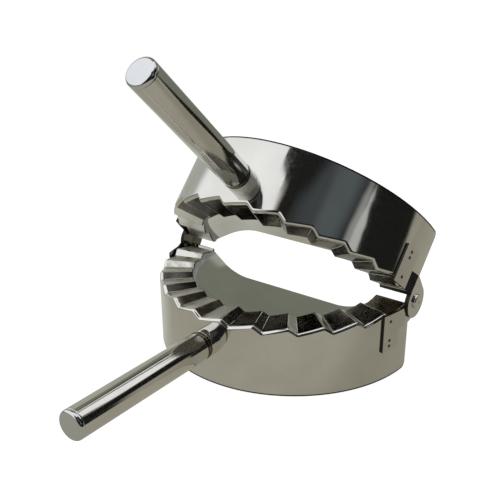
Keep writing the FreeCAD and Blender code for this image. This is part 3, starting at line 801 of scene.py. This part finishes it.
def cap_mesh(name):
    """Pressed cap of a handle with its spigot in the tube."""
    return turned_mesh(name, [
        (0.0, TUBE_END - CAP_SPIGOT, 0.0),
        (PLUG_RADIUS, TUBE_END - CAP_SPIGOT, 0.0),
        (PLUG_RADIUS, TUBE_END + SEAT_GAP, 0.0),
        (HANDLE_RADIUS, TUBE_END + SEAT_GAP, CAP_LIP),
        (HANDLE_RADIUS, CAP_END, CAP_ROUND),
        (0.0, CAP_END, 0.0),
    ])


def ferrule_mesh(name):
    """Ferrule at the skirt: a sleeve, a rounded bead and a groove with painted shade, and the plug in the
    tube.
    """
    mesh = turned_mesh(name, [
        (0.0, 0.0, 0.0),
        (HANDLE_RADIUS, 0.0, 0.0),
        (HANDLE_RADIUS, SLEEVE_END, SLEEVE_ROUND),
        (GROOVE_RADIUS, SLEEVE_END, 0.0),
        (GROOVE_RADIUS, BEAD_START, 0.0),
        (HANDLE_RADIUS, BEAD_START, BEAD_ROUND),
        (HANDLE_RADIUS, FERRULE_END, BEAD_ROUND),
        (GROOVE_RADIUS, FERRULE_END, 0.0),
        (GROOVE_RADIUS, TUBE_START - SEAT_GAP, 0.0),
        (PLUG_RADIUS, TUBE_START - SEAT_GAP, 0.0),
        (PLUG_RADIUS, PLUG_END, 0.0),
        (0.0, PLUG_END, 0.0),
    ], saddled=2)
    # Painted shade from the groove up.
    for face in mesh.polygons:
        face.material_index = 1 if face.center.z > SLEEVE_END else 0
    return mesh


def rivet_mesh(name):
    """Hinge rivet from its flush foot, which has painted shade, to its punched head."""
    seat = 2 * LEAF_GAUGE + EAR_GAP + SEAT_GAP
    top = seat + RIVET_HEAD[1]
    mesh = turned_mesh(name, [
        (0.0, 0.0, 0.0),
        (RIVET_FLARE[0], 0.0, 0.0),
        (RIVET_RADIUS, RIVET_FLARE[1], 0.0),
        (RIVET_RADIUS, seat, 0.0),
        (RIVET_HEAD[0], seat, 0.0),
        (RIVET_HEAD[0], top, RIVET_HEAD[1] * RIVET_ROUND_SHARE),
        (RIVET_DIMPLE[0], top, DIMPLE_ROUND),
        (0.0, top - RIVET_DIMPLE[1], 0.0),
    ])
    # Painted shade on the rivet's foot.
    for face in mesh.polygons:
        face.material_index = 1 if face.center.z < RIVET_FLARE[1] else 0
    return mesh


def spots_mesh(name, side):
    """Low domes of a leaf's weld spots, on the side of the jaw that is given."""
    leaf_face = JAW_RADIUS + LEAF_SEAT + LEAF_GAUGE
    ahead = LEAF_REACH - SPOT_INSET
    out = math.sqrt(leaf_face ** 2 - (ahead - END_SETBACK) ** 2)
    points = []
    faces = []
    for share in SPOT_SHARES:
        dome = turned_mesh(name, [
            (SPOT_RADIUS, -SPOT_PROUD, 0.0),
            (*SPOT_SHOULDER, 0.0),
            (0.0, SPOT_PROUD, 0.0),
        ])
        dome.transform(Matrix.Translation((side * out, -ahead, -LEAF_DEPTH * share))
                       @ Matrix.Rotation(side * math.pi / 2, 4, "Y"))
        start = len(points)
        points += [tuple(point.co) for point in dome.vertices]
        faces += [[start + corner for corner in face.vertices] for face in dome.polygons]
        bpy.data.meshes.remove(dome)
    mesh = bpy.data.meshes.new(name)
    mesh.from_pydata(points, [], faces)
    return mesh


def show(mesh, place, body, materials, replaced):
    """Makes a piece of a mesh, smooth but for its sharp edges, and ties it to the frame."""
    mesh.transform(place)
    mesh.polygons.foreach_set("use_smooth", [True] * len(mesh.polygons))
    mesh.set_sharp_from_angle(angle=SMOOTH_ANGLE)
    for material in materials:
        mesh.materials.append(material)
    piece = bpy.data.objects.new(mesh.name, mesh)
    bpy.context.scene.collection.objects.link(piece)
    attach(piece, body)
    if replaced:
        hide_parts(replaced)
    return piece


def dress(node, material):
    """Gives a CAD node its material."""
    part = frame["nodes"][node]
    part.data.materials.clear()
    part.data.materials.append(material)


def soften(node):
    """Breaks a CAD node's sheared edges with a small bevel."""
    bevel = frame["nodes"][node].modifiers.new("broken_edges", "BEVEL")
    bevel.width = LEAF_BEVEL
    bevel.segments = BEVEL_STEPS
    bevel.limit_method = "ANGLE"
    bevel.angle_limit = BEVEL_ANGLE


def true_skirt(piece, place):
    """Gives the skirt's faces the normals of a true cylinder, so that it mirrors without ripples."""
    mesh = piece.data
    back = place.inverted()
    out = place.to_3x3()
    spokes = []
    for point in mesh.vertices:
        local = back @ point.co
        spoke = Vector((local.x, local.y + END_SETBACK, 0.0))
        spokes.append((spoke.length, out @ spoke.normalized()))
    normals = [(0.0, 0.0, 0.0)] * len(mesh.loops)
    for face in mesh.polygons:
        for skin, way in ((JAW_RADIUS, 1), (JAW_RADIUS - SHEET_GAUGE, -1)):
            if all(abs(spokes[corner][0] - skin) < SKIN_NEARNESS for corner in face.vertices):
                for loop in face.loop_indices:
                    normals[loop] = tuple(way * spokes[mesh.loops[loop].vertex_index][1])
    mesh.normals_split_custom_set(normals)


def make_jaw(jaw, place, sleeve, facets, finishes):
    """Sheet, handle and weld spots of a jaw, and the finish of the pieces that stay."""
    body = f"{jaw}_jaw"
    sheet = show(jaw_mesh(f"{jaw}_jaw_sheet", *facets), place, body, finishes["sheet"],
                 f"{jaw}_jaw_shell")
    true_skirt(sheet, place)
    outward = Matrix.Translation((0.0, -END_SETBACK - JAW_RADIUS, -HANDLE_DROP))
    handle = place @ outward @ Matrix.Rotation(math.pi / 2, 4, "X")
    for mesh, used, replaced in (
        (tube_mesh(f"{jaw}_grip"), ["tube"], "tube"),
        (cap_mesh(f"{jaw}_cap"), ["cap"], "cap"),
        (ferrule_mesh(f"{jaw}_ferrule"), [sleeve, "bead_and_foot_shade"], "ferrule"),
    ):
        show(mesh, handle, body, [finishes[use] for use in used],
             f"{jaw}_handle_{replaced}")
    for kind, side in (("flat", 1), ("joggled", -1)):
        show(spots_mesh(f"{jaw}_{kind}_weld_spots", side), place, body,
             [finishes["spot"]], None)
        dress(f"{jaw}_{kind}_leaf", finishes["leaf"])
        soften(f"{jaw}_{kind}_leaf")
    for piece in ("handle_washer", "handle_screw"):
        dress(f"{jaw}_{piece}", finishes["turned"])


def make_rivet(side, way, finishes):
    """Rivet of one end of the hinge."""
    outward = Matrix.Translation((way * (JAW_RADIUS + LEAF_SEAT), 0.0, 0.0))
    place = LOWER_PLACE @ outward @ Matrix.Rotation(way * math.pi / 2, 4, "Y")
    show(rivet_mesh(f"{side}_rivet"), place, RIVET_BODY,
         [finishes["turned"], finishes["bead_and_foot_shade"]], f"{side}_hinge_rivet")


def make_press():
    """All the pieces of the press."""
    finishes = make_finishes()
    make_jaw("lower", LOWER_PLACE, "turned", (LOWER_LONG_FACETS, LOWER_STEEP_FACETS), finishes)
    # The upper jaw's ferrule sleeve takes a painted highlight.
    make_jaw("upper", UPPER_PLACE, "satin", (UPPER_LONG_FACETS, UPPER_STEEP_FACETS), finishes)
    make_rivet("right", 1, finishes)
    make_rivet("left", -1, finishes)


bpy.context.scene.view_settings.view_transform = "Standard"
make_camera()
make_world()
make_floor()
for lamp in LAMPS:
    make_lamp(*lamp)
make_press()
